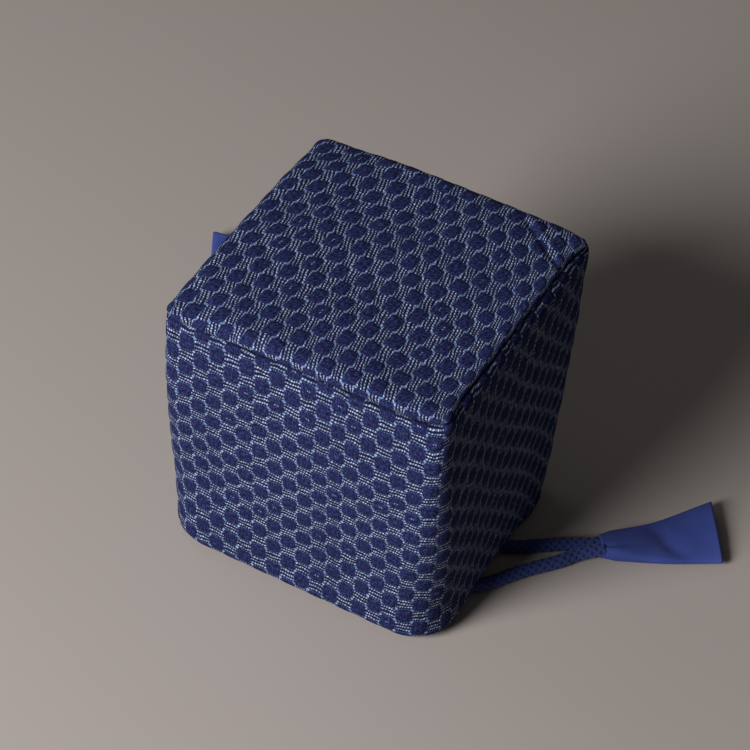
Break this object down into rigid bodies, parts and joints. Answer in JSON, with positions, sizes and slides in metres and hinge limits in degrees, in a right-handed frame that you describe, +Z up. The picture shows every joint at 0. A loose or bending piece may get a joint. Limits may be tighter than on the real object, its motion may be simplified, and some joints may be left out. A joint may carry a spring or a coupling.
{
  "type": "teaware storage bag",
  "caption": "Padded cube-shaped drawstring bag of checker-woven cloth, standing on its drawn mouth, with double cords and folded cloth tabs at two sides.",
  "frame": {"origin": "on the table under the middle of the bag's bounding box, cords and tabs left out", "axes": "+Z up from the drawn mouth to the base panel, -Y towards the front face, +X towards the side where the right drawstring leaves"},
  "size_m": [0.2297, 0.1449, 0.1109],
  "materials": {
    "woven_indigo": "matte checker weave of raised dark indigo pads and pale dashes",
    "wadding": "soft fibre wadding",
    "lining_cotton": "matte plain weave",
    "plain_blue": "matte plain weave",
    "braided_cord": "matte round braid"
  },
  "bodies": {
    "root": {"side_band": "woven_indigo", "base_panel": "woven_indigo", "side_padding": "wadding", "base_padding": "wadding", "side_lining": "lining_cotton", "base_lining": "lining_cotton", "mouth_collar": "plain_blue", "drawstring_right": "braided_cord", "drawstring_left": "braided_cord", "tab_right": "plain_blue", "tab_left": "plain_blue"}
  },
  "joints": []
}
